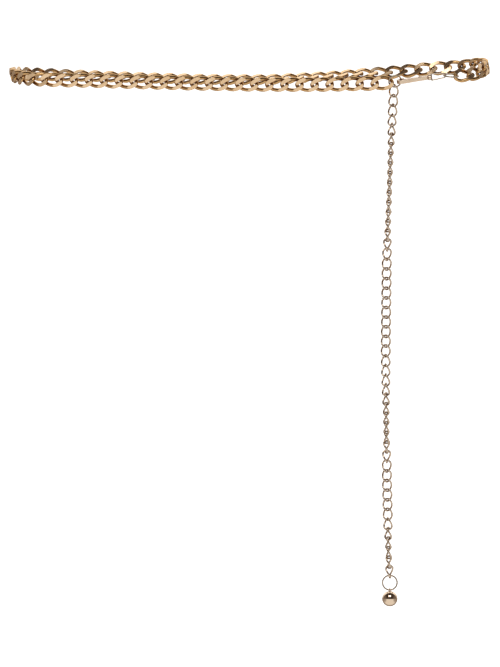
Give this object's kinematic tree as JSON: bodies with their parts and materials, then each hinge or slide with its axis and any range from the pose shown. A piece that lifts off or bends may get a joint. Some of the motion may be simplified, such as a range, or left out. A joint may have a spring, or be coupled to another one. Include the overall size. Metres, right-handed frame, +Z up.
{
  "type": "waist chain",
  "caption": "Flat-cut curb chain for the waist, closed by a lobster clasp, with a long thin curb chain hanging from its hook ring and a ball at the end.",
  "frame": {"origin": "middle of the waist hollow, at the height of the loop's front and back strands", "axes": "+Z up along the wearer's trunk, +X to the right in the picture, -Y towards the camera: the clasp and the extension chain are on the front strand"},
  "size_m": [0.3116, 0.0964, 0.3531],
  "materials": {
    "curb_gold": "polished gold tone",
    "fine_chain_gold": "polished gold tone",
    "ring_gold": "polished gold tone",
    "clasp_gold": "polished gold tone",
    "ball_gold": "mirror-polished gold tone"
  },
  "bodies": {
    "waist_chain": {"curb_chain": "curb_gold", "hook_ring": "ring_gold", "clasp_body": "clasp_gold", "clasp_bail": "ring_gold", "joining_ring": "ring_gold", "extension_chain": "fine_chain_gold", "drop_ring": "ring_gold"},
    "lever": {"clasp_lever": "clasp_gold"},
    "ball": {"ball_drop": "ball_gold"}
  },
  "joints": [
    {"name": "lever_hinge", "type": "hinge", "parent": "waist_chain", "child": "lever", "pos_m": [0.1101, -0.03614, 0.00198], "axis": [-0.1138, -0.1529, 0.9817], "range_deg": [0, 22], "stiffness_Nm_per_rad": 0.004, "springref_deg": -11.46},
    {"name": "ball_swing", "type": "hinge", "parent": "waist_chain", "child": "ball", "pos_m": [0.09067, -0.03888, -0.32884], "axis": [1, 0, 0], "range_deg": [-80, 80]}
  ]
}
